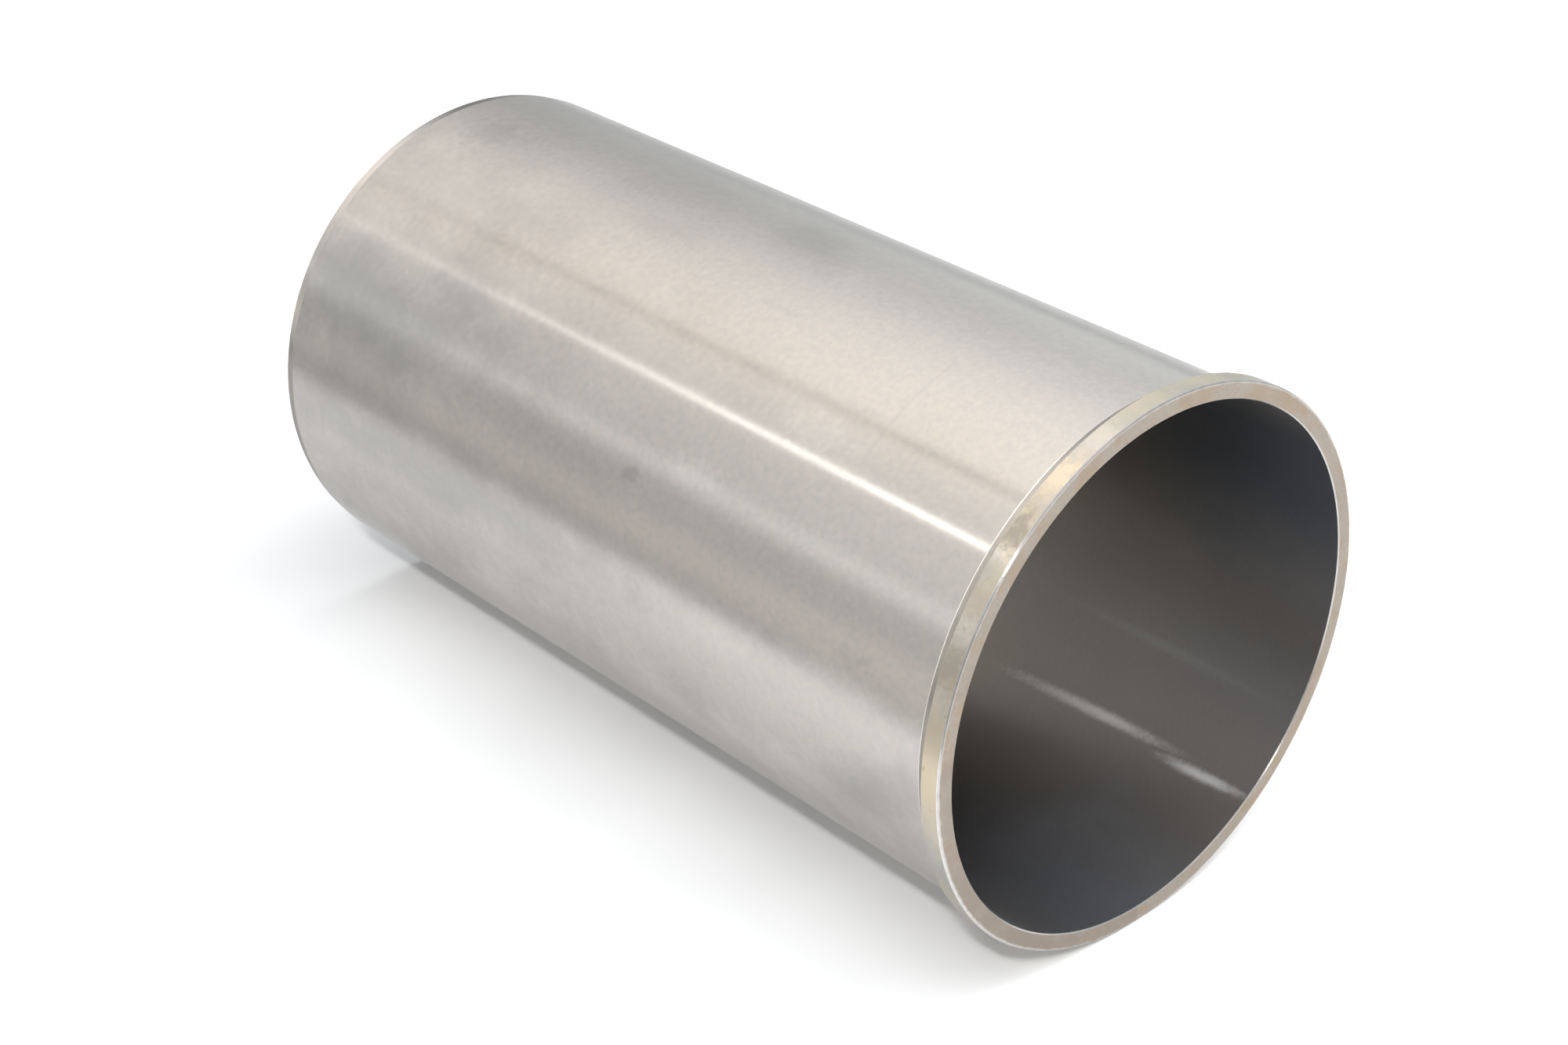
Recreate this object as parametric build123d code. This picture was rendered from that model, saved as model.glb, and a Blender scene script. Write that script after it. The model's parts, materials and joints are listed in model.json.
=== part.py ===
"""Flanged dry cylinder liner: a thin ground steel sleeve turned in one piece.

It stands on its skirt end. Z runs up the bore axis, Z = 0 is the skirt end and the collar is
on top, so the origin is the centre of the end that the liner stands on. Lengths are in mm.
"""

import os

from build123d import *

# Bore and wall
BORE_DIAMETER = 93.0            # honed running surface of the piston
WALL_THICKNESS = 1.0            # thin wall between the bore and the ground outside
LINER_LENGTH = 178.5            # skirt end to the faced top of the collar

# Collar that stops the liner in its block
COLLAR_OVERHANG = 2.2           # how far the collar stands out from the ground body
COLLAR_RIM_LENGTH = 3.6         # faced top to the lower edge of the rim
SEAT_CONE_LENGTH = 2.6          # axial length of the conical seat under the rim
SEAT_ROOT_RADIUS = 0.4          # grinding radius where the seat runs into the body
RIM_EDGE_RADIUS = 0.15          # deburred edge between the rim and the seat
FACE_CHAMFER = 0.3              # chamfer between the faced top and the rim
BORE_MOUTH_BREAK = 0.2          # edge break between the faced top and the bore

# Skirt end
SKIRT_LEAD_DEPTH = 0.25         # how far the outside tapers in, to enter the block
SKIRT_LEAD_LENGTH = 2.0         # how far up the outside that taper starts
SKIRT_BORE_BREAK = 0.25         # edge break between the skirt end and the bore


def wall_section():
    """Half section of the liner wall on the XZ plane, bore side to outside."""
    bore_radius = BORE_DIAMETER / 2
    body_radius = bore_radius + WALL_THICKNESS
    rim_radius = body_radius + COLLAR_OVERHANG
    rim_bottom = LINER_LENGTH - COLLAR_RIM_LENGTH
    seat_bottom = rim_bottom - SEAT_CONE_LENGTH

    seat_root = (body_radius, seat_bottom)
    rim_lower_edge = (rim_radius, rim_bottom)
    outline = [
        (bore_radius + SKIRT_BORE_BREAK, 0),
        (body_radius - SKIRT_LEAD_DEPTH, 0),
        (body_radius, SKIRT_LEAD_LENGTH),
        seat_root,
        rim_lower_edge,
        (rim_radius, LINER_LENGTH - FACE_CHAMFER),
        (rim_radius - FACE_CHAMFER, LINER_LENGTH),
        (bore_radius + BORE_MOUTH_BREAK, LINER_LENGTH),
        (bore_radius, LINER_LENGTH - BORE_MOUTH_BREAK),
        (bore_radius, SKIRT_BORE_BREAK),
    ]
    with BuildSketch(Plane.XZ) as section:
        with BuildLine():
            Polyline(*outline, close=True)
        make_face()
        round_corner(section, seat_root, SEAT_ROOT_RADIUS)
        round_corner(section, rim_lower_edge, RIM_EDGE_RADIUS)
    return section.sketch


def round_corner(section, corner, radius):
    """Round the one corner of the section that lies at the given radius and height."""
    fillet(section.vertices().sort_by_distance(corner)[0], radius)


def cylinder_liner():
    """The whole liner: its wall section turned about the bore axis."""
    with BuildPart() as liner:
        add(wall_section())
        revolve(axis=Axis.Z)
    return liner.part


if __name__ == "__main__":
    os.makedirs("parts", exist_ok=True)
    export_step(cylinder_liner(), "parts/cylinder_liner.step")
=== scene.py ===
"""Finishes, studio and camera of a flanged dry cylinder liner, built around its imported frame.

The liner stands on its skirt end, with Z up its bore. In the photograph it lies on its side,
so the camera is rolled, and the table that it lies on there stands upright behind it here.
"""

import json
import math

import bpy
from mathutils import Matrix, Vector


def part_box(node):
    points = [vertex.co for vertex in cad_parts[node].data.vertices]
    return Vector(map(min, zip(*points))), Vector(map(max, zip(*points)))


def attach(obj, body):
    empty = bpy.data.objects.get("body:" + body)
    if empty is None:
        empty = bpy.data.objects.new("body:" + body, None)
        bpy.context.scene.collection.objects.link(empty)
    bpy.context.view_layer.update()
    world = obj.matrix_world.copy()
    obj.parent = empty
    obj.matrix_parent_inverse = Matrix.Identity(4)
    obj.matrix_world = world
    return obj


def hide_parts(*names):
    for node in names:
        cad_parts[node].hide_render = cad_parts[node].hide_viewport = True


bl_info = {
    "name": "Cylinder Liner",
    "version": (1, 0, 0),
    "blender": (4, 5, 0),
    "location": "3D View > Sidebar > Liner",
    "description": "Builds a flanged dry cylinder liner with its finishes, studio and camera",
    "category": "Object",
}

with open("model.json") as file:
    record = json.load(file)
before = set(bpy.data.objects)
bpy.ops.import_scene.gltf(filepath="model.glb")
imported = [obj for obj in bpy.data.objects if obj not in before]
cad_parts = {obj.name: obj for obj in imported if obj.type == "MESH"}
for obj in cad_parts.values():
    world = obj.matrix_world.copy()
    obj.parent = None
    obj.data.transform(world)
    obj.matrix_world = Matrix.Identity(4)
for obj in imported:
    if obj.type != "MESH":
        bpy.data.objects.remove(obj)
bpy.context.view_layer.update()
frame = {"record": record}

NODE = "cylinder_liner"
MM = 0.001
MOUNT_RADIUS = {
    mount["name"]: mount["dims"]["r_mm"] * MM
    for mount in frame["record"]["mounts"]
    if "r_mm" in mount["dims"]
}

# The side that is up in the photograph is -Y here, and the table touches the liner at +Y.
# Angles round the bore are in degrees from that upper side, towards +X, where the camera is.
UPPER_SIDE = -90.0

# How far each sheet of the table reaches, in metres, and between which distances from the
# collar the camera sees it turn from a matt white that takes shadows to a plain white.
TABLE_REACH = 4.0
TABLE_PLAIN_FROM, TABLE_PLAIN_AT = 0.4, 1.2


def length_property(name, description, default):
    """A length in metres, shown in the scene's unit."""
    return bpy.props.FloatProperty(
        name=name, description=description, default=default, min=0, unit="LENGTH", precision=5
    )


def angle_property(name, description, degrees):
    """An angle, kept in radians and shown in degrees."""
    return bpy.props.FloatProperty(
        name=name, description=description, default=math.radians(degrees), subtype="ANGLE"
    )


def share_property(name, description, default):
    """A share from 0 to 1."""
    return bpy.props.FloatProperty(
        name=name, description=description, default=default, min=0, max=1, subtype="FACTOR"
    )


def level_property(name, description, default):
    """A plain number that is never negative."""
    return bpy.props.FloatProperty(name=name, description=description, default=default, min=0)


def colour_property(name, description, default):
    """A colour, as linear red, green and blue."""
    return bpy.props.FloatVectorProperty(
        name=name, description=description, default=default, size=3, min=0, max=1,
        subtype="COLOR"
    )


class LinerSizes(bpy.types.PropertyGroup):
    """Sizes of the turned section. Radii and length come from the frame."""

    bore_radius: length_property("Bore radius", "Honed wall", MOUNT_RADIUS["bore"])
    body_radius: length_property("Body radius", "Ground outside", MOUNT_RADIUS["block_fit"])
    rim_radius: length_property("Rim radius", "Outside of the collar", MOUNT_RADIUS["collar_rim"])
    length: length_property("Length", "Skirt end to faced end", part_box(NODE)[1].z)
    rim_length: length_property("Rim length", "Faced end to the rim's lower edge", 3.6 * MM)
    seat_length: length_property("Seat length", "Height of the cone under the rim", 2.6 * MM)
    root_radius: length_property("Root radius", "Where the cone meets the body", 0.4 * MM)
    rim_edge_radius: length_property("Rim edge", "Rounding of the rim's lower edge", 0.15 * MM)
    face_chamfer: length_property("Face chamfer", "Between faced end and rim", 0.3 * MM)
    mouth_break: length_property("Mouth break", "Between faced end and bore", 0.2 * MM)
    lead_depth: length_property("Lead-in depth", "How far the skirt tapers in", 0.25 * MM)
    lead_length: length_property("Lead-in length", "How far up the taper starts", 2.0 * MM)
    skirt_break: length_property("Skirt break", "Between skirt end and bore", 0.25 * MM)
    edge_radius: length_property("Edge radius", "Rounding of every other edge", 0.05 * MM)
    steps_round: bpy.props.IntProperty(
        name="Steps round", description="Faces round the bore", default=720, min=48
    )
    steps_per_edge: bpy.props.IntProperty(
        name="Steps per edge", description="Faces across each rounded edge", default=4, min=1
    )


class LinerFinish(bpy.types.PropertyGroup):
    """Colours and gloss of the machined surfaces."""

    steel: colour_property("Ground steel", "Outside of the body", (0.474, 0.446, 0.413))
    seat: colour_property("Seat cone", "Cone under the rim", (0.70, 0.665, 0.615))
    chamfer: colour_property("Chamfer", "Cone between faced end and rim", (0.50, 0.48, 0.46))
    rim: colour_property("Rim", "Bare metal of the rim", (0.475, 0.44, 0.385))
    straw: colour_property("Straw tint", "Heat tint on the collar", (0.53, 0.475, 0.365))
    face: colour_property("Faced end", "Turned ring round the bore", (0.345, 0.302, 0.256))
    bore: colour_property("Honed bore", "Running surface", (0.328, 0.306, 0.277))
    ground_roughness: share_property("Ground roughness", "Gloss of the outside", 0.19)
    faced_roughness: share_property("Faced roughness", "Gloss of the faced end", 0.36)
    bore_roughness: share_property("Bore roughness", "Gloss of the honed wall", 0.30)
    grain: share_property("Grain", "How far the gloss is drawn out across the marks", 0.92)


class StudioLight(bpy.types.PropertyGroup):
    """Levels of the lamps and of the room that the metal shows."""

    room_level: level_property("Room level", "Level of the room that the metal shows", 2.47)
    fill_level: level_property("Fill level", "Even light on matt surfaces", 0.27)
    ceiling_power: level_property("Ceiling power", "Power of the ceiling lamp in watts", 70.0)
    side_power: level_property("Side power", "Power of the lamp on the far side in watts", 6.0)
    key_power: level_property("Key power", "Power of the strip lamp in watts", 7.5)
    streak_power: level_property("Streak power", "Power of its streak in the metal", 0.19)
    glint_power: level_property("Glint power", "Power of the glints on the collar", 0.6)
    table_white: share_property("Table white", "Share of the table that takes no shadow", 0.11)
    table_mirrored: share_property("Table in the metal", "The same, for rays off the metal", 0.185)
    table_front: length_property("Table front", "How far out the metal shows the table", 0.143)


class PhotoCamera(bpy.types.PropertyGroup):
    """Place of the camera, from fitting the rims and outlines in the photograph."""

    azimuth: angle_property("Azimuth", "Round the bore from the upper side", 51.3)
    distance: length_property("Distance", "From the bore axis", 376.7 * MM)
    height: length_property("Height", "Above the skirt end", 412.7 * MM)
    aim_height: length_property("Aim height", "Where the lens points on the axis", 94.5 * MM)
    aim_offset: length_property("Aim offset", "How far beside the axis it points", 7.06 * MM)
    roll: angle_property("Roll", "Turn of the camera about its lens", 118.28)
    lens: bpy.props.FloatProperty(
        name="Lens", description="Focal length in millimetres", default=62.8, unit="CAMERA"
    )


def add_node(tree, kind, inputs=None, **settings):
    """Add a node, set its options, and fill its inputs with values or with links."""
    node = tree.nodes.new(kind)
    for key, value in settings.items():
        setattr(node, key, value)
    for key, value in (inputs or {}).items():
        if isinstance(value, bpy.types.NodeSocket):
            tree.links.new(value, node.inputs[key])
        else:
            node.inputs[key].default_value = value
    return node


def calc(tree, operation, *values, clamp=False):
    """One Math node. Returns its value."""
    inputs = dict(enumerate(values))
    return add_node(tree, "ShaderNodeMath", inputs, operation=operation, use_clamp=clamp).outputs[0]


def span(tree, value, low, high, to_low=0.0, to_high=1.0):
    """Move a value smoothly from one range to another, and hold it at the ends."""
    inputs = {"Value": value, "From Min": low, "From Max": high, "To Min": to_low, "To Max": to_high}
    node = add_node(tree, "ShaderNodeMapRange", inputs, interpolation_type="SMOOTHSTEP")
    return node.outputs["Result"]


def blend_colour(tree, share, first, second, mode="MIX"):
    """One colour Mix node. Returns its colour."""
    node = add_node(tree, "ShaderNodeMix", data_type="RGBA", blend_type=mode)
    for key, value in (("Factor_Float", share), ("A_Color", first), ("B_Color", second)):
        socket = next(s for s in node.inputs if s.identifier == key)
        if isinstance(value, bpy.types.NodeSocket):
            tree.links.new(value, socket)
        else:
            socket.default_value = value if key == "Factor_Float" else (*value, 1)
    return next(s for s in node.outputs if s.identifier == "Result_Color")


def tone_colour(tree, tone):
    """A grey colour from one value."""
    return add_node(tree, "ShaderNodeCombineColor",
                    {"Red": tone, "Green": tone, "Blue": tone}).outputs["Color"]


def noise(tree, place, scale, detail=2.0, roughness=0.5):
    """Value of a 3D noise at a place. The scale is in waves per unit of the place."""
    inputs = {"Vector": place, "Scale": scale, "Detail": detail, "Roughness": roughness}
    return add_node(tree, "ShaderNodeTexNoise", inputs).outputs[0]


def new_group(name, inputs, outputs):
    """An empty shader node group with named sockets. Returns its tree, its in and out nodes."""
    tree = bpy.data.node_groups.new(name, "ShaderNodeTree")
    for label, kind, default in inputs:
        socket = tree.interface.new_socket(label, in_out="INPUT", socket_type=kind)
        socket.default_value = default
    for label, kind in outputs:
        tree.interface.new_socket(label, in_out="OUTPUT", socket_type=kind)
    return tree, tree.nodes.new("NodeGroupInput"), tree.nodes.new("NodeGroupOutput")


def use_group(tree, group, **inputs):
    """Place a shared group in a material. Underscores in the input names stand for spaces."""
    named = {key.replace("_", " "): value for key, value in inputs.items()}
    return add_node(tree, "ShaderNodeGroup", named, node_tree=group)


def round_the_bore_group():
    """Angle in degrees from the upper side, radius and height in millimetres of each point."""
    tree, _, out = new_group(
        "Round the bore", (),
        (("Angle", "NodeSocketFloat"), ("Radius", "NodeSocketFloat"),
         ("Height", "NodeSocketFloat"), ("Place", "NodeSocketVector")),
    )
    place = add_node(tree, "ShaderNodeTexCoord").outputs["Object"]
    scaled = add_node(tree, "ShaderNodeVectorMath", {0: place, "Scale": 1 / MM}, operation="SCALE")
    axes = add_node(tree, "ShaderNodeSeparateXYZ", {"Vector": scaled.outputs["Vector"]})
    x, y, z = (axes.outputs[name] for name in "XYZ")
    angle = calc(tree, "DEGREES", calc(tree, "ARCTAN2", x, calc(tree, "MULTIPLY", y, -1.0)))
    radius = calc(tree, "SQRT", calc(tree, "MULTIPLY_ADD", x, x, calc(tree, "MULTIPLY", y, y)))
    for label, socket in (("Angle", angle), ("Radius", radius), ("Height", z),
                          ("Place", scaled.outputs["Vector"])):
        tree.links.new(socket, out.inputs[label])
    return tree


def mottle_group():
    """Colour of fine ground metal: wide soft clouds and small blotches, some warm, some cool."""
    tree, given, out = new_group(
        "Mottled metal",
        (("Color", "NodeSocketColor", (0.5, 0.5, 0.5, 1)), ("Place", "NodeSocketVector", (0, 0, 0)),
         ("Cloud size", "NodeSocketFloat", 24.0), ("Cloud depth", "NodeSocketFloat", 0.06),
         ("Blotch size", "NodeSocketFloat", 0.9), ("Blotch depth", "NodeSocketFloat", 0.05),
         ("Hue depth", "NodeSocketFloat", 0.03)),
        (("Color", "NodeSocketColor"), ("Clouds", "NodeSocketFloat")),
    )
    give = given.outputs
    clouds = noise(tree, give["Place"], calc(tree, "DIVIDE", 1.0, give["Cloud size"]), 4.0, 0.62)
    fine = add_node(tree, "ShaderNodeTexNoise", {
        "Vector": give["Place"], "Scale": calc(tree, "DIVIDE", 1.0, give["Blotch size"]),
        "Detail": 2.0, "Roughness": 0.7,
    })
    tone = calc(tree, "MULTIPLY_ADD", calc(tree, "SUBTRACT", clouds, 0.5), give["Cloud depth"], 1.0)
    blotch = calc(tree, "SUBTRACT", fine.outputs["Fac"], 0.5)
    tone = calc(tree, "MULTIPLY_ADD", blotch, give["Blotch depth"], tone)
    # Two channels of the same noise make the hue wander between warm and cool.
    parts = add_node(tree, "ShaderNodeSeparateColor", {"Color": fine.outputs["Color"]}).outputs
    wander = calc(tree, "SUBTRACT", parts["Red"], parts["Blue"])
    hue = calc(tree, "MULTIPLY", wander, give["Hue depth"])
    tint = add_node(tree, "ShaderNodeCombineColor", {
        "Red": calc(tree, "ADD", tone, hue), "Green": tone,
        "Blue": calc(tree, "SUBTRACT", tone, hue),
    })
    colour = add_node(tree, "ShaderNodeVectorMath", {0: give["Color"], 1: tint.outputs["Color"]},
                      operation="MULTIPLY")
    tree.links.new(colour.outputs["Vector"], out.inputs["Color"])
    tree.links.new(clouds, out.inputs["Clouds"])
    return tree


def machining_group():
    """Fine tool marks that run round the bore, as lines from 0 to 1 across one direction."""
    tree, given, out = new_group(
        "Machining marks",
        (("Across", "NodeSocketFloat", 0.0), ("Angle", "NodeSocketFloat", 0.0),
         ("Spacing", "NodeSocketFloat", 0.3), ("Breaks", "NodeSocketFloat", 6.0)),
        (("Marks", "NodeSocketFloat"),),
    )
    give = given.outputs
    turn = calc(tree, "RADIANS", give["Angle"])
    # A noise that is many steps deep across the marks and few round the bore.
    place = add_node(tree, "ShaderNodeCombineXYZ", {
        "X": calc(tree, "DIVIDE", give["Across"], give["Spacing"]),
        "Y": calc(tree, "MULTIPLY", calc(tree, "SINE", turn), give["Breaks"]),
        "Z": calc(tree, "MULTIPLY", calc(tree, "COSINE", turn), give["Breaks"]),
    })
    tree.links.new(noise(tree, place.outputs["Vector"], 1.0, 3.0, 0.6), out.inputs["Marks"])
    return tree


def soft_patch_group():
    """Mask of one soft patch with a ragged edge, at an angle and a height: stains, tints, painted
    reflection and shade.
    """
    tree, given, out = new_group(
        "Soft patch",
        (("Angle", "NodeSocketFloat", 0.0), ("Height", "NodeSocketFloat", 0.0),
         ("Grain", "NodeSocketFloat", 0.5), ("At angle", "NodeSocketFloat", 0.0),
         ("At height", "NodeSocketFloat", 0.0), ("Half angle", "NodeSocketFloat", 8.0),
         ("Half height", "NodeSocketFloat", 8.0), ("Slant", "NodeSocketFloat", 0.0)),
        (("Mask", "NodeSocketFloat"),),
    )
    give = given.outputs
    up = calc(tree, "SUBTRACT", give["Height"], give["At height"])
    across = calc(tree, "SUBTRACT", give["Angle"], give["At angle"])
    across = calc(tree, "SUBTRACT", across, calc(tree, "MULTIPLY", up, give["Slant"]))
    across = calc(tree, "DIVIDE", across, give["Half angle"])
    up = calc(tree, "DIVIDE", up, give["Half height"])
    reach = calc(tree, "SQRT", calc(tree, "MULTIPLY_ADD", across, across,
                                    calc(tree, "MULTIPLY", up, up)))
    # The grain moves the edge in and out, and the mask fades from the middle to that edge.
    ragged = calc(tree, "ADD", reach, calc(tree, "MULTIPLY_ADD", give["Grain"], 2.4, -1.2))
    tree.links.new(span(tree, ragged, 1.2, 0.1), out.inputs["Mask"])
    return tree


def worn_edge_group():
    """Mask of the burnished line along one turned edge, broken up a little round the bore."""
    tree, given, out = new_group(
        "Worn edge",
        (("Place", "NodeSocketVector", (0, 0, 0)), ("Radius", "NodeSocketFloat", 0.0),
         ("Height", "NodeSocketFloat", 0.0), ("At radius", "NodeSocketFloat", 0.0),
         ("At height", "NodeSocketFloat", 0.0), ("Width", "NodeSocketFloat", 0.2)),
        (("Mask", "NodeSocketFloat"),),
    )
    give = given.outputs
    out_by = calc(tree, "SUBTRACT", give["Radius"], give["At radius"])
    up_by = calc(tree, "SUBTRACT", give["Height"], give["At height"])
    gap = calc(tree, "SQRT", calc(tree, "MULTIPLY_ADD", out_by, out_by,
                                  calc(tree, "MULTIPLY", up_by, up_by)))
    broken = noise(tree, give["Place"], 0.6, 3.0, 0.6)
    width = calc(tree, "MULTIPLY", give["Width"], span(tree, broken, 0.3, 0.7, 0.4, 1.5))
    near = calc(tree, "SUBTRACT", 1.0, calc(tree, "DIVIDE", gap, width), clamp=True)
    tree.links.new(near, out.inputs["Mask"])
    return tree


class Finish:
    """One machined finish in the making: its node tree, its place on the wall and its colour."""

    def __init__(self, name, groups, colour):
        self.material = bpy.data.materials.new(name)
        self.material.use_nodes = True
        self.tree = self.material.node_tree
        self.tree.nodes.clear()
        self.groups = groups
        # A tint below white keeps the metal from going white where it is seen edge on.
        self.shader = add_node(self.tree, "ShaderNodeBsdfPrincipled",
                               {"Metallic": 1.0, "Specular Tint": (0.65, 0.65, 0.65, 1)})
        output = self.tree.nodes.new("ShaderNodeOutputMaterial")
        self.tree.links.new(self.shader.outputs["BSDF"], output.inputs["Surface"])
        self.wall = use_group(self.tree, groups["wall"]).outputs
        self.colour = colour

    def mottle(self, **settings):
        """Give the colour clouds and blotches. Returns the value of the clouds."""
        made = use_group(self.tree, self.groups["mottle"], Color=(*self.colour, 1),
                         Place=self.wall["Place"], **settings)
        self.colour = made.outputs["Color"]
        return made.outputs["Clouds"]

    def shade(self, mask, colour, share=1.0):
        """Lay a colour over the metal where a mask says so, by a share of it."""
        if share < 1:
            mask = calc(self.tree, "MULTIPLY", mask, share)
        self.colour = blend_colour(self.tree, mask, self.colour, colour)

    def multiply(self, tone):
        """Multiply the colour by a value that is 1 where nothing changes."""
        grey = tone_colour(self.tree, tone)
        self.colour = blend_colour(self.tree, 1.0, self.colour, grey, "MULTIPLY")

    def grain(self, size):
        """A noise with grains of a size in millimetres, for the ragged edges of stains."""
        return noise(self.tree, self.wall["Place"], 1.0 / size, 4.0, 0.6)

    def patches(self, scale, detail, roughness, low, high):
        """Mask of scattered patches: a noise over the metal, cut off between two values."""
        return span(self.tree, noise(self.tree, self.wall["Place"], scale, detail, roughness),
                    low, high)

    def soft_patch(self, grain, angle, height, half_angle, half_height, slant=0.0):
        """Mask of a soft patch, in degrees and millimetres: a stain, a tint, or painted reflection
        and shade.
        """
        made = use_group(self.tree, self.groups["soft_patch"], Angle=self.wall["Angle"],
                         Height=self.wall["Height"], Grain=grain, At_angle=angle,
                         At_height=height, Half_angle=half_angle, Half_height=half_height,
                         Slant=slant)
        return made.outputs["Mask"]

    def worn_edge(self, radius, height, width):
        """Mask of the burnished line along a turned edge, all in millimetres."""
        made = use_group(self.tree, self.groups["edge"], Place=self.wall["Place"],
                         Radius=self.wall["Radius"], Height=self.wall["Height"],
                         At_radius=radius, At_height=height, Width=width)
        return made.outputs["Mask"]

    def marks(self, across, spacing, breaks=6.0):
        """Tool marks that run round the bore, spaced across Height or Radius."""
        made = use_group(self.tree, self.groups["marks"], Across=self.wall[across],
                         Angle=self.wall["Angle"], Spacing=spacing, Breaks=breaks)
        return made.outputs["Marks"]

    def gloss(self, roughness, grain):
        """Set the roughness, a value or a link, and how far it is drawn out across the marks."""
        tangent = add_node(self.tree, "ShaderNodeTangent", direction_type="RADIAL", axis="Z")
        self.tree.links.new(tangent.outputs["Tangent"], self.shader.inputs["Tangent"])
        # A quarter turn lays the drawn-out gloss across the marks instead of along them.
        self.shader.inputs["Anisotropic"].default_value = grain
        self.shader.inputs["Anisotropic Rotation"].default_value = 0.25
        if isinstance(roughness, bpy.types.NodeSocket):
            self.tree.links.new(roughness, self.shader.inputs["Roughness"])
        else:
            self.shader.inputs["Roughness"].default_value = roughness

    def raise_by(self, height, distance):
        """Raise the surface by a value times a distance in millimetres."""
        node = add_node(self.tree, "ShaderNodeBump", {"Height": height, "Distance": distance * MM})
        self.tree.links.new(node.outputs["Normal"], self.shader.inputs["Normal"])

    def done(self):
        """Connect the colour and hand the material over."""
        self.tree.links.new(self.colour, self.shader.inputs["Base Color"])
        return self.material


# Handling stains and lighter patches on the ground outside. The wide ones also hold painted
# reflection and
# painted shade: bands that stand in for the table and room in the metal, such as the long lighter
# band at 122 degrees on the side towards the table. Columns: angle from the upper side, height, half
# angle, half height, slant in degrees per millimetre, and how much they lighten the steel, or darken
# it where the number is below zero.
WIDE_STAINS_AND_PAINTED_LIGHT = (
    (28, 14, 12, 46, 0.0, -0.12),
    (-8, 10, 18, 46, 0.0, 0.06),
    (58, 22, 14, 48, 0.0, -0.23),
    (70, 22, 11, 24, 0.10, -0.10),
    (88, 45, 9, 80, 0.0, -0.17),
    (80, 158, 4, 24, 0.0, 0.12),
    (122, 60, 20, 160, 0.0, 0.28),
    (128, 18, 14, 44, 0.0, 0.14),
    (103, 161, 11, 15, -0.5, -0.17),
    (14, 70, 4, 13, 0.0, -0.05),
    (-2, 96, 9, 12, 0.2, -0.10),
    (-60, 90, 12, 30, 0.0, -0.06),
    (-120, 50, 9, 22, 0.1, -0.08),
    (88, 124, 5, 12, 0.0, 0.05),
    (160, 110, 14, 30, 0.1, -0.07),
)
SMALL_STAINS = (
    (8, 16, 7, 8, 0.0, -0.13),
    (66, 24, 4, 8, 0.0, -0.06),
    (64.5, 99, 2.4, 2.2, 0.0, -0.18),
    (58.5, 113, 3.2, 8, 0.0, 0.10),
    (40, 130, 5, 10, 0.0, 0.09),
    (78, 157, 4, 6, 0.0, -0.10),
    (81, 138, 2.0, 3, 0.0, -0.08),
    (20, 108, 1.0, 7, 0.0, -0.035),
    (32, 142.5, 26, 0.35, 0.0, -0.035),
    (-30, 128, 3, 4, 0.0, -0.10),
    (-140, 140, 4, 7, 0.0, -0.12),
)


def ground_finish(finish, size, groups):
    """Body outside: fine ground steel, cloudy, with a few handling stains, bands of painted
    reflection and painted shade, and a darker painted taper.
    """
    made = Finish("ground_steel", groups, finish.steel)
    tree = made.tree
    clouds = made.mottle(Cloud_size=26.0, Cloud_depth=0.17, Blotch_size=1.3, Blotch_depth=0.19,
                         Hue_depth=0.06)
    tone = 1.0
    soft = span(tree, made.grain(12.0), 0.0, 1.0, 0.25, 0.75)
    # Stains, and in the wide rows painted reflection and painted shade, scale the steel's colour.
    for patch_table, grain in ((WIDE_STAINS_AND_PAINTED_LIGHT, soft), (SMALL_STAINS, made.grain(2.5))):
        for *where, depth in patch_table:
            tone = calc(tree, "MULTIPLY_ADD", made.soft_patch(grain, *where), depth, tone)
    made.multiply(tone)
    # Where the stains and the painted shade darken the steel, it is cooler and duller too.
    darkened = calc(tree, "SUBTRACT", 1.0, tone)
    made.shade(calc(tree, "MULTIPLY", darkened, 1.2, clamp=True), (0.38, 0.39, 0.40))
    duller = calc(tree, "MULTIPLY", darkened, 0.15)
    # Painted shade: the taper at the skirt end is darker, to tone down the bright ring of the room
    # that it shows.
    lead_in = size.lead_length / MM
    taper_shade = span(tree, made.wall["Height"], lead_in + 0.2, lead_in - 0.2)
    made.shade(taper_shade, (0.29, 0.27, 0.25))
    level = finish.ground_roughness
    gloss = calc(tree, "ADD", span(tree, clouds, 0.3, 0.7, level - 0.015, level + 0.02), duller)
    made.gloss(gloss, finish.grain)
    made.raise_by(calc(tree, "ADD", made.marks("Height", 0.7), made.grain(0.55)), 0.001)
    return made.done()


def turned_finish(name, colour, groups, radius, height):
    """Narrow turned cone, burnished along one edge at a radius and a height."""
    made = Finish(name, groups, colour)
    made.mottle(Cloud_size=9.0, Cloud_depth=0.18, Blotch_size=0.8, Blotch_depth=0.14,
                Hue_depth=0.07)
    edge = made.worn_edge(radius / MM, height / MM, width=0.3)
    made.shade(edge, (0.85, 0.83, 0.80), 0.4)
    made.gloss(roughness=0.25, grain=0.65)
    made.raise_by(made.marks("Height", 0.35), 0.002)
    return made.done()


# Heat tints on the rim: angle from the upper side, half angle, share and colour.
RIM_TINTS = (
    (29, 5, 0.8, (0.66, 0.55, 0.41)),
    (18, 5, 0.6, (0.56, 0.52, 0.47)),
    (41, 5, 0.8, (0.31, 0.28, 0.24)),
    (55, 5, 0.6, (0.46, 0.39, 0.31)),
    (67, 5, 0.7, (0.39, 0.34, 0.275)),
    (89, 13, 0.8, (0.55, 0.465, 0.34)),
    (109, 8, 0.9, (0.42, 0.415, 0.40)),
    (121, 5, 0.7, (0.56, 0.545, 0.52)),
    (134, 7, 0.7, (0.35, 0.345, 0.34)),
    (-20, 16, 0.7, (0.46, 0.41, 0.33)),
    (-75, 18, 0.6, (0.53, 0.46, 0.35)),
    (150, 20, 0.6, (0.53, 0.47, 0.37)),
)


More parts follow.
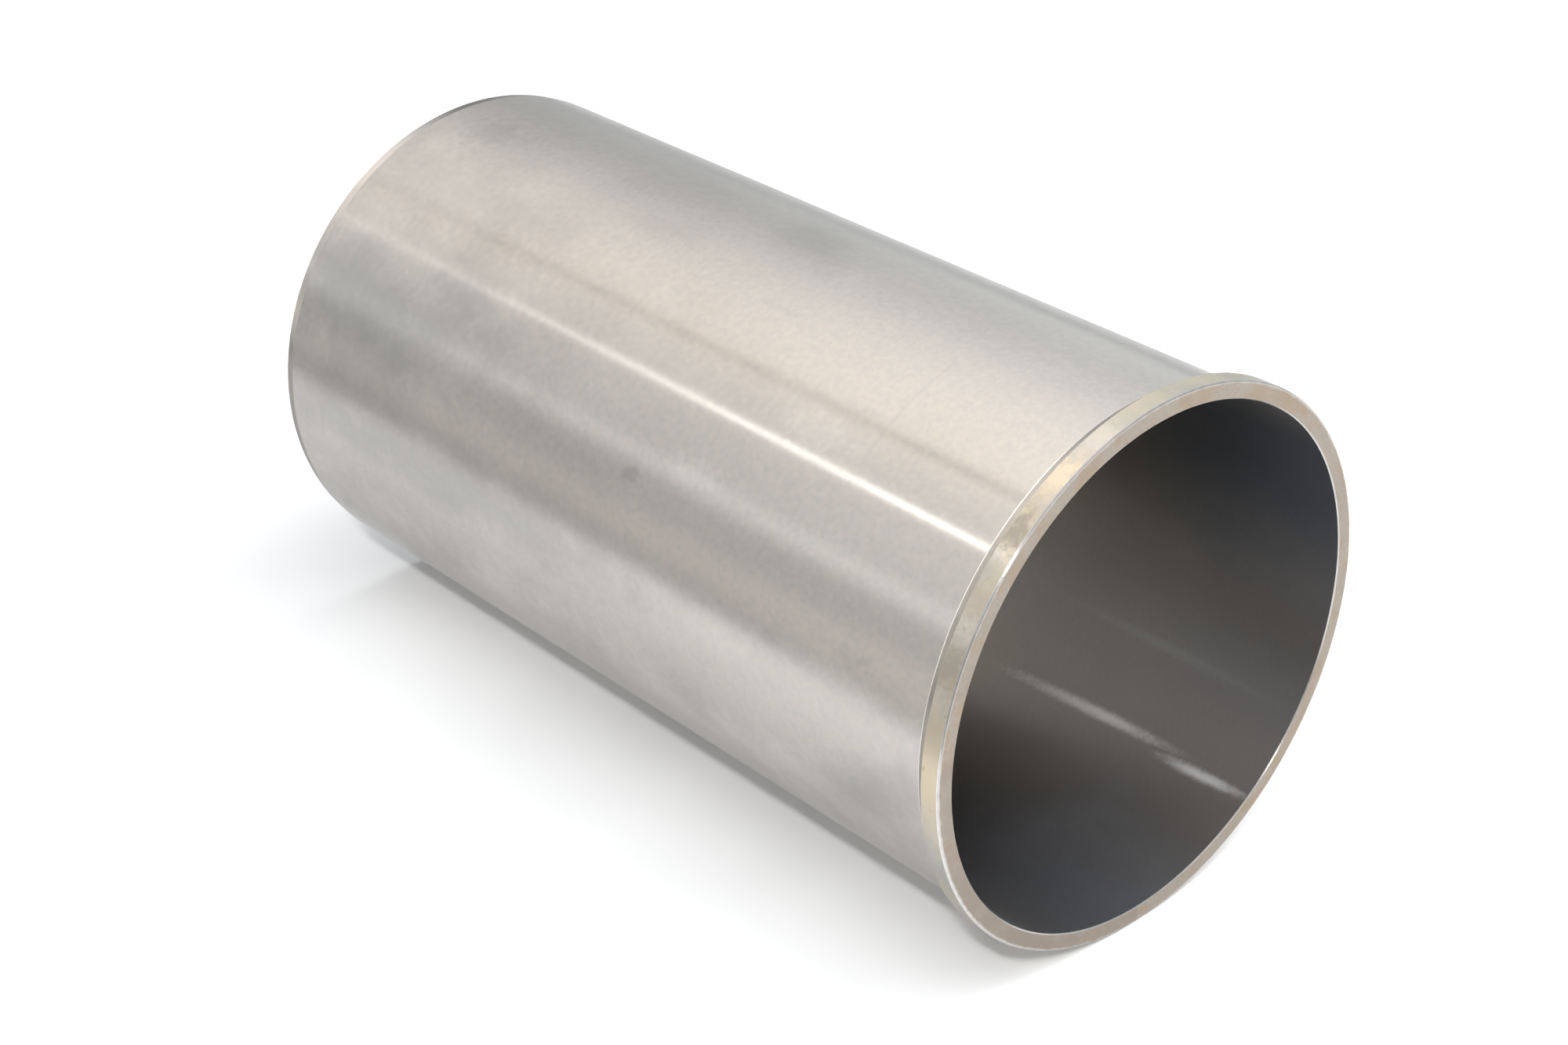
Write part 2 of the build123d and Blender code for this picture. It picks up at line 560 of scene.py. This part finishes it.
def rim_finish(finish, size, groups):
    """Rim of the collar, with straw and greenish heat tints that end in ragged patches."""
    made = Finish("tinted_rim", groups, finish.rim)
    made.mottle(Cloud_size=6.0, Cloud_depth=0.30, Blotch_size=0.8, Blotch_depth=0.20,
                Hue_depth=0.08)
    straw = made.patches(scale=0.085, detail=3.0, roughness=0.55, low=0.42, high=0.56)
    made.shade(straw, finish.straw, 0.8)
    green = made.patches(scale=0.13, detail=2.0, roughness=0.5, low=0.54, high=0.66)
    made.shade(green, (0.44, 0.425, 0.36), 0.6)
    ragged = made.grain(1.6)
    middle = (size.length - size.rim_length / 2) / MM
    for angle, half_angle, share, tint in RIM_TINTS:
        made.shade(made.soft_patch(ragged, angle, middle, half_angle, half_height=4.0), tint, share)
    brown = made.patches(scale=0.55, detail=3.0, roughness=0.7, low=0.62, high=0.74)
    made.shade(brown, (0.30, 0.22, 0.15), 0.4)
    made.gloss(roughness=0.27, grain=0.7)
    made.raise_by(made.marks("Height", 0.3), 0.003)
    return made.done()


def faced_finish(finish, size, groups):
    """Faced ring at either end: turned lines, brownish patches, and a bright outer edge on top."""
    made = Finish("faced_end", groups, finish.face)
    made.mottle(Cloud_size=12.0, Cloud_depth=0.22, Blotch_size=0.7, Blotch_depth=0.30,
                Hue_depth=0.14)
    brown = made.patches(scale=0.2, detail=5.0, roughness=0.65, low=0.48, high=0.62)
    made.shade(brown, (0.34, 0.258, 0.182), 0.6)
    marks = made.marks("Radius", spacing=0.09, breaks=9.0)
    made.multiply(span(made.tree, marks, 0.25, 0.75, 0.93, 1.06))
    top = size.length / MM
    # Darker and browner over a wide side round 138 degrees, the side towards the table.
    darker_side = made.soft_patch(made.grain(6.0), angle=138.0, height=top, half_angle=60.0, half_height=9.0)
    made.shade(darker_side, (0.275, 0.235, 0.20), 0.85)
    outer = (size.rim_radius - size.face_chamfer) / MM
    made.shade(made.worn_edge(outer, top, width=0.28), (0.66, 0.65, 0.64), 0.6)
    made.gloss(finish.faced_roughness, grain=0.3)
    made.raise_by(marks, 0.004)
    return made.done()


# Honing lines: how many go round the bore, and how far they turn, in radians a millimetre.
HONING_ROUND = 96.0
HONING_CLIMB = 3.6

# Painted reflections: light streaks along the bore, painted as matt white lines. Columns: angle from
# the upper side, height, half angle, half height, slant in degrees per millimetre, and share.
PAINTED_BORE_STREAKS = (
    (-142.9, 141.5, 1.8, 22, 0.05, 0.42),
    (-144.1, 168.5, 1.7, 11, 0.06, 0.42),
    (-122.6, 148.5, 1.5, 27, 0.0, 0.06),
)

# Painted shade and painted light near the bore mouth: darker and cooler round -68 degrees, lighter
# and cooler round the bottom. Angle and colour. The one that lies across the seam of the angle, at
# 180 degrees, is there from either side of it.
BORE_MOUTH_SHADE_AND_LIGHT = (
    (-68, (0.212, 0.222, 0.252)),
    (172, (0.37, 0.378, 0.41)),
    (-188, (0.37, 0.378, 0.41)),
)


def honed_finish(finish, groups):
    """Running surface: crossed honing lines under a thin film of oil, greyer near the mouth, with
    painted shade and light near the mouth and painted reflection streaks.
    """
    made = Finish("honed_bore", groups, finish.bore)
    tree = made.tree
    made.mottle(Cloud_size=30.0, Cloud_depth=0.14, Blotch_size=1.2, Blotch_depth=0.05,
                Hue_depth=0.04)
    soft = span(tree, made.grain(20.0), 0.0, 1.0, 0.3, 0.7)
    made.shade(span(tree, made.wall["Height"], 112.0, 160.0), (0.30, 0.288, 0.282))
    for angle, tint in BORE_MOUTH_SHADE_AND_LIGHT:
        made.shade(made.soft_patch(soft, angle, height=170.0, half_angle=34.0, half_height=40.0), tint)
    turn = calc(tree, "RADIANS", made.wall["Angle"])
    lines = 0.0
    for way in (-1, 1):
        climb = calc(tree, "MULTIPLY", made.wall["Height"], way * HONING_CLIMB)
        wave = calc(tree, "SINE", calc(tree, "MULTIPLY_ADD", turn, HONING_ROUND, climb))
        lines = calc(tree, "ADD", lines, calc(tree, "MULTIPLY", wave, 0.5))
    broken = made.patches(scale=0.5, detail=3.0, roughness=0.6, low=0.4, high=0.65)
    lines = calc(tree, "MULTIPLY", lines, broken)
    made.multiply(calc(tree, "MULTIPLY_ADD", lines, 0.03, 1.0))
    painted_streaks = 0.0
    speckle = span(tree, made.grain(0.8), 0.0, 1.0, 0.38, 0.62)
    for *where, share in PAINTED_BORE_STREAKS:
        streak_mask = made.soft_patch(speckle, *where)
        painted_streaks = calc(tree, "MAXIMUM", painted_streaks, calc(tree, "MULTIPLY", streak_mask, share))
    made.shade(painted_streaks, (0.95, 0.94, 0.93))
    # The painted reflection streaks are matt white instead of metal, so that the lamps light them.
    metal = calc(tree, "MULTIPLY_ADD", painted_streaks, -0.92, 0.92)
    tree.links.new(metal, made.shader.inputs["Metallic"])
    made.gloss(finish.bore_roughness, finish.grain)
    made.raise_by(lines, 0.001)
    return made.done()


def build_materials(finish, size):
    """All finishes of the liner, by the region of the section that wears them."""
    groups = {
        "wall": round_the_bore_group(), "mottle": mottle_group(), "marks": machining_group(),
        "soft_patch": soft_patch_group(), "edge": worn_edge_group(),
    }
    return {
        "body": ground_finish(finish, size, groups),
        "seat": turned_finish("seat_cone", finish.seat, groups, size.body_radius,
                              section_heights(size)[0]),
        "chamfer": turned_finish("face_chamfer", finish.chamfer, groups, size.rim_radius,
                                 size.length - size.face_chamfer),
        "rim": rim_finish(finish, size, groups),
        "face": faced_finish(finish, size, groups),
        "bore": honed_finish(finish, groups),
    }


def section_heights(size):
    """Heights of the cone's foot and of the rim's lower edge."""
    rim_bottom = size.length - size.rim_length
    return rim_bottom - size.seat_length, rim_bottom


def section_corners(size):
    """Corners of the wall section: radius, height, rounding, and region up to the next one."""
    seat_bottom, rim_bottom = section_heights(size)
    edge = size.edge_radius
    return (
        (size.bore_radius + size.skirt_break, 0, edge, "face"),
        (size.body_radius - size.lead_depth, 0, edge, "body"),
        (size.body_radius, size.lead_length, edge, "body"),
        (size.body_radius, seat_bottom, size.root_radius, "seat"),
        (size.rim_radius, rim_bottom, size.rim_edge_radius, "rim"),
        (size.rim_radius, size.length - size.face_chamfer, edge, "chamfer"),
        (size.rim_radius - size.face_chamfer, size.length, edge, "face"),
        (size.bore_radius + size.mouth_break, size.length, edge, "chamfer"),
        (size.bore_radius, size.length - size.mouth_break, edge, "bore"),
        (size.bore_radius, size.skirt_break, edge, "bore"),
    )


def rounded_section(corners, steps):
    """Points of the section with each corner rounded: place, outward normal, region after it."""
    points = []
    for index, (radius, height, rounding, region) in enumerate(corners):
        corner = Vector((radius, height))
        before = (corner - Vector(corners[index - 1][:2])).normalized()
        after = (Vector(corners[(index + 1) % len(corners)][:2]) - corner).normalized()
        turn = before.angle_signed(after)
        reach = rounding * math.tan(abs(turn) / 2)
        first_normal = Vector((before.y, -before.x))
        side = 1 if turn < 0 else -1
        centre = corner - before * reach - first_normal * rounding * side
        for step in range(steps + 1):
            share = step / steps
            normal = first_normal.copy()
            normal.rotate(Matrix.Rotation(-turn * share, 2))
            points.append((centre + normal * rounding * side, normal, region))
    return points


def lathe(name, points, steps_round, materials):
    """Turn the section about Z into a closed mesh with exact smooth normals."""
    regions = list(materials)
    count = len(points)
    verts, faces, slots, normals = [], [], [], []
    for step in range(steps_round):
        angle = 2 * math.pi * step / steps_round
        across, along = math.cos(angle), math.sin(angle)
        for place, normal, _ in points:
            verts.append((place.x * across, place.x * along, place.y))
            normals.append((normal.x * across, normal.x * along, normal.y))
    for step in range(steps_round):
        here, there = step * count, (step + 1) % steps_round * count
        for index in range(count):
            after = (index + 1) % count
            faces.append((here + index, there + index, there + after, here + after))
            slots.append(regions.index(points[index][2]))
    mesh = bpy.data.meshes.new(name)
    mesh.from_pydata(verts, [], faces)
    mesh.polygons.foreach_set("material_index", slots)
    mesh.polygons.foreach_set("use_smooth", [True] * len(faces))
    mesh.normals_split_custom_set_from_vertices(normals)
    for region in regions:
        mesh.materials.append(materials[region])
    mesh.validate()
    piece = bpy.data.objects.new(name, mesh)
    bpy.context.scene.collection.objects.link(piece)
    return piece


class LINER_OT_build_liner(bpy.types.Operator):
    """Turn the liner's wall section into its visible piece, with a finish for each region"""

    bl_idname = "liner.build_liner"
    bl_label = "Build Liner"
    bl_options = {"REGISTER", "UNDO"}

    def execute(self, context):
        size = context.scene.liner_sizes
        materials = build_materials(context.scene.liner_finish, size)
        points = rounded_section(section_corners(size), size.steps_per_edge)
        piece = lathe("liner", points, size.steps_round, materials)
        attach(piece, "root")
        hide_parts(NODE)
        return {"FINISHED"}


def seen_share(tree):
    """1 for rays that show the background: from the camera, in gloss and through glass."""
    path = add_node(tree, "ShaderNodeLightPath").outputs
    seen = calc(tree, "ADD", path["Is Camera Ray"], path["Is Glossy Ray"])
    return calc(tree, "ADD", seen, path["Is Transmission Ray"], clamp=True)


def white_material(name, white_share, mirrored_share, whiteness, creases):
    """A little uneven white that keeps the liner's shadow, plain far off, clear from behind."""
    material = bpy.data.materials.new(name)
    material.use_nodes = True
    tree = material.node_tree
    tree.nodes.clear()
    place = add_node(tree, "ShaderNodeTexCoord").outputs["Object"]
    tone = span(tree, noise(tree, place, 16.0, 4.0, 0.6), 0.35, 0.6, whiteness - creases, whiteness)
    matt = add_node(tree, "ShaderNodeBsdfDiffuse", {"Color": tone_colour(tree, tone)})
    path = add_node(tree, "ShaderNodeLightPath").outputs
    mirrored = calc(tree, "ADD", path["Is Glossy Ray"], path["Is Transmission Ray"], clamp=True)
    away = add_node(tree, "ShaderNodeVectorMath", {0: place}, operation="LENGTH").outputs["Value"]
    seen = span(tree, away, TABLE_PLAIN_FROM, TABLE_PLAIN_AT, white_share, 1.0)
    level = calc(tree, "MULTIPLY", path["Is Camera Ray"], seen)
    level = calc(tree, "MULTIPLY_ADD", mirrored, mirrored_share, level)
    white = add_node(tree, "ShaderNodeEmission", {"Color": (1, 1, 1, 1), "Strength": level})
    front = add_node(tree, "ShaderNodeAddShader", {0: matt.outputs[0], 1: white.outputs[0]})
    clear = add_node(tree, "ShaderNodeBsdfTransparent")
    behind = add_node(tree, "ShaderNodeNewGeometry").outputs["Backfacing"]
    both = add_node(tree, "ShaderNodeMixShader",
                    {0: behind, 1: front.outputs[0], 2: clear.outputs[0]})
    output = tree.nodes.new("ShaderNodeOutputMaterial")
    tree.links.new(both.outputs[0], output.inputs["Surface"])
    return material


def white_plane(name, left, right, material):
    """A big flat sheet between two places along X, facing up before it is turned."""
    mesh = bpy.data.meshes.new(name)
    corners = [(left, -TABLE_REACH, 0), (right, -TABLE_REACH, 0),
               (right, TABLE_REACH, 0), (left, TABLE_REACH, 0)]
    mesh.from_pydata(corners, [], [(0, 1, 2, 3)])
    mesh.materials.append(material)
    plane = bpy.data.objects.new(name, mesh)
    bpy.context.scene.collection.objects.link(plane)
    return plane


def build_table(size, light):
    """White table that the liner's rim and skirt end touch, in two sheets side by side."""
    collar_height = size.length - size.face_chamfer
    lean = math.atan2(size.rim_radius - size.body_radius, collar_height - size.lead_length)
    white = white_material("table", light.table_white, light.table_mirrored,
                           whiteness=0.88, creases=0.05)
    table = white_plane("table", -TABLE_REACH, light.table_front, white)
    table_front = white_plane("table_front", light.table_front, TABLE_REACH, white)
    # The front sheet stays out of the metal, which shows the dark side of the room there.
    table_front.visible_glossy = False
    for plane in (table, table_front):
        plane.rotation_euler = (math.radians(90) - lean, 0, 0)
        plane.location = (0, size.rim_radius, collar_height)


# Tone of the room round the bore, as degrees from the upper side and a colour. It has a warm
# ceiling with a thin gap in it, cooler walls, and a dark side behind the photographer.
ROOM_BANDS = (
    (-180, (0.611, 0.62, 0.635)),
    (-110, (0.58, 0.61, 0.635)),
    (-98, (0.64, 0.67, 0.69)),
    (-86, (0.635, 0.665, 0.69)),
    (-74, (0.557, 0.58, 0.592)),
    (-60, (0.533, 0.55, 0.561)),
    (-42, (0.612, 0.62, 0.632)),
    (-28, (0.727, 0.715, 0.715)),
    (-16, (0.783, 0.765, 0.755)),
    (-5, (0.802, 0.775, 0.755)),
    (14.5, (0.765, 0.737, 0.71)),
    (15.1, (0.17, 0.155, 0.15)),
    (15.8, (0.17, 0.155, 0.15)),
    (16.4, (0.73, 0.705, 0.68)),
    (30, (0.62, 0.61, 0.605)),
    (46, (0.552, 0.551, 0.549)),
    (64, (0.495, 0.502, 0.504)),
    (70, (0.625, 0.635, 0.64)),
    (78, (0.394, 0.4, 0.4)),
    (88, (0.374, 0.38, 0.379)),
    (96, (0.455, 0.45, 0.44)),
    (105, (0.455, 0.45, 0.44)),
    (108.5, (0.35, 0.35, 0.345)),
    (112, (0.35, 0.35, 0.345)),
    (116, (0.40, 0.405, 0.41)),
    (125, (0.50, 0.51, 0.52)),
    (180, (0.611, 0.62, 0.635)),
)

# Share of that tone from straight down, through level, to straight up past the collar. The
# light ring just above straight down is what the cone under the rim shows.
ROOM_ENDS = (
    (-1.0, 0.60),
    (-0.97, 1.2),
    (-0.93, 2.6),
    (-0.89, 2.6),
    (-0.86, 0.54),
    (-0.80, 0.52),
    (-0.74, 0.63),
    (-0.60, 1.0),
    (-0.45, 1.0),
    (-0.25, 0.80),
    (0.1, 0.62),
    (0.5, 0.54),
    (0.9, 0.56),
)


def value_ramp(tree, value, stops):
    """Colour ramp node with its stops at the given places. Returns its colour."""
    ramp = add_node(tree, "ShaderNodeValToRGB", {"Fac": value})
    elements = ramp.color_ramp.elements
    while len(elements) < len(stops):
        elements.new(0.5)
    for element, (place, colour) in zip(elements, stops):
        element.position = place
        element.color = (*colour, 1)
    return ramp.outputs["Color"]


def build_world(light):
    """Room that the metal shows, white behind the liner, and even light on matt surfaces."""
    world = bpy.data.worlds.new("studio")
    world.use_nodes = True
    tree = world.node_tree
    tree.nodes.clear()
    direction = add_node(tree, "ShaderNodeTexCoord").outputs["Generated"]
    axes = add_node(tree, "ShaderNodeSeparateXYZ", {"Vector": direction}).outputs
    angle = calc(tree, "ARCTAN2", axes["X"], calc(tree, "MULTIPLY", axes["Y"], -1.0))
    turn = calc(tree, "MULTIPLY_ADD", angle, 0.5 / math.pi, 0.5)
    bands = value_ramp(tree, turn, [(deg / 360 + 0.5, colour) for deg, colour in ROOM_BANDS])
    end = calc(tree, "MULTIPLY_ADD", axes["Z"], 0.5, 0.5)
    ends = value_ramp(tree, end, [(z / 2 + 0.5, (share,) * 3) for z, share in ROOM_ENDS])
    room = blend_colour(tree, 1.0, bands, ends, "MULTIPLY")
    path = add_node(tree, "ShaderNodeLightPath").outputs
    shown = blend_colour(tree, path["Is Glossy Ray"], (1, 1, 1), room)
    strength = span(tree, path["Is Glossy Ray"], 0.0, 1.0, 1.0, light.room_level)
    background = add_node(tree, "ShaderNodeBackground", {"Color": shown, "Strength": strength})
    fill = add_node(tree, "ShaderNodeBackground",
                    {"Color": (0.92, 0.96, 1, 1), "Strength": light.fill_level})
    both = add_node(tree, "ShaderNodeMixShader",
                    {0: seen_share(tree), 1: fill.outputs[0], 2: background.outputs[0]})
    output = tree.nodes.new("ShaderNodeOutputWorld")
    tree.links.new(both.outputs[0], output.inputs["Surface"])
    bpy.context.scene.world = world


def round_place(degrees, distance, height):
    """A place at an angle from the upper side, a distance from the axis and a height."""
    angle = math.radians(UPPER_SIDE + degrees)
    return Vector((distance * math.cos(angle), distance * math.sin(angle), height))


# Lamps: degrees from the upper side, distance and height in metres, then width and length.
LAMPS = {
    "ceiling": (0.0, 2.2, 0.8, 3.2, 3.2),
    "side": (-42.0, 1.2, 0.5, 0.6, 0.6),
    "key": (40.5, 1.2, 0.7, 0.06, 0.25),
    "streak": (39.1, 1.2, -0.67, 0.045, 0.4),
    "glint": (38.7, 0.51, 0.98, 0.03, 0.36),
}


def area_lamp(kind, power, aim, colour=(1, 1, 1)):
    """One of the rectangular lamps, facing a point, its length upright."""
    degrees, distance, height, width, length = LAMPS[kind]
    data = bpy.data.lights.new(f"{kind}_lamp", "AREA")
    data.shape = "RECTANGLE"
    data.size, data.size_y = width, length
    data.energy = power
    data.color = colour
    lamp = bpy.data.objects.new(f"{kind}_lamp", data)
    lamp.location = round_place(degrees, distance, height)
    lamp.rotation_euler = (aim - lamp.location).to_track_quat("-Z", "Y").to_euler()
    lamp.visible_camera = False
    bpy.context.scene.collection.objects.link(lamp)
    return lamp


class LINER_OT_build_stage(bpy.types.Operator):
    """Add the table that the liner touches, the lamps and the room"""

    bl_idname = "liner.build_stage"
    bl_label = "Build Stage"
    bl_options = {"REGISTER", "UNDO"}

    def execute(self, context):
        size = context.scene.liner_sizes
        light = context.scene.studio_light
        build_table(size, light)
        middle = Vector((0, 0, size.length / 2))
        collar = Vector((0, 0, size.length))
        # Three lamps light the matt surfaces, and the last two only show in the metal.
        for lamp in (
            area_lamp("ceiling", light.ceiling_power, middle, (0.96, 0.98, 1)),
            area_lamp("side", light.side_power, middle),
            area_lamp("key", light.key_power, middle),
        ):
            lamp.visible_glossy = False
        for lamp in (
            area_lamp("streak", light.streak_power, middle),
            area_lamp("glint", light.glint_power, collar),
        ):
            lamp.visible_diffuse = False
        build_world(light)
        return {"FINISHED"}


class LINER_OT_place_camera(bpy.types.Operator):
    """Put the camera at the photograph's place, roll and lens"""

    bl_idname = "liner.place_camera"
    bl_label = "Place Camera"
    bl_options = {"REGISTER", "UNDO"}

    def execute(self, context):
        shot = context.scene.photo_camera
        data = bpy.data.cameras.new("photo_camera")
        data.lens = shot.lens
        data.clip_start = 10 * MM
        camera = bpy.data.objects.new("photo_camera", data)
        degrees = math.degrees(shot.azimuth)
        place = round_place(degrees, shot.distance, shot.height)
        aim = round_place(degrees + 90, shot.aim_offset, shot.aim_height)
        upright = (aim - place).to_track_quat("-Z", "Y").to_matrix().to_4x4()
        roll = Matrix.Rotation(shot.roll, 4, "Z")
        camera.matrix_world = Matrix.Translation(place) @ upright @ roll
        context.scene.collection.objects.link(camera)
        context.scene.camera = camera
        return {"FINISHED"}


class LINER_PT_panel(bpy.types.Panel):
    """Steps that build the liner and its studio"""

    bl_label = "Cylinder Liner"
    bl_idname = "LINER_PT_panel"
    bl_space_type = "VIEW_3D"
    bl_region_type = "UI"
    bl_category = "Liner"

    def draw(self, context):
        for step in (LINER_OT_build_liner, LINER_OT_build_stage, LINER_OT_place_camera):
            self.layout.operator(step.bl_idname)


SETTINGS = {
    "liner_sizes": LinerSizes, "liner_finish": LinerFinish,
    "studio_light": StudioLight, "photo_camera": PhotoCamera,
}
CLASSES = (
    *SETTINGS.values(), LINER_OT_build_liner, LINER_OT_build_stage, LINER_OT_place_camera,
    LINER_PT_panel,
)


def register():
    """Register the classes and hang the settings on the scene."""
    for cls in CLASSES:
        bpy.utils.register_class(cls)
    for name, group in SETTINGS.items():
        setattr(bpy.types.Scene, name, bpy.props.PointerProperty(type=group))


def unregister():
    """Take the settings and classes away again."""
    for name in SETTINGS:
        delattr(bpy.types.Scene, name)
    for cls in reversed(CLASSES):
        bpy.utils.unregister_class(cls)


def main():
    """Build the liner, its stage and its camera."""
    register()
    bpy.ops.liner.build_liner()
    bpy.ops.liner.build_stage()
    bpy.ops.liner.place_camera()
    bpy.context.scene.view_settings.view_transform = "Standard"


if __name__ == "__main__":
    main()
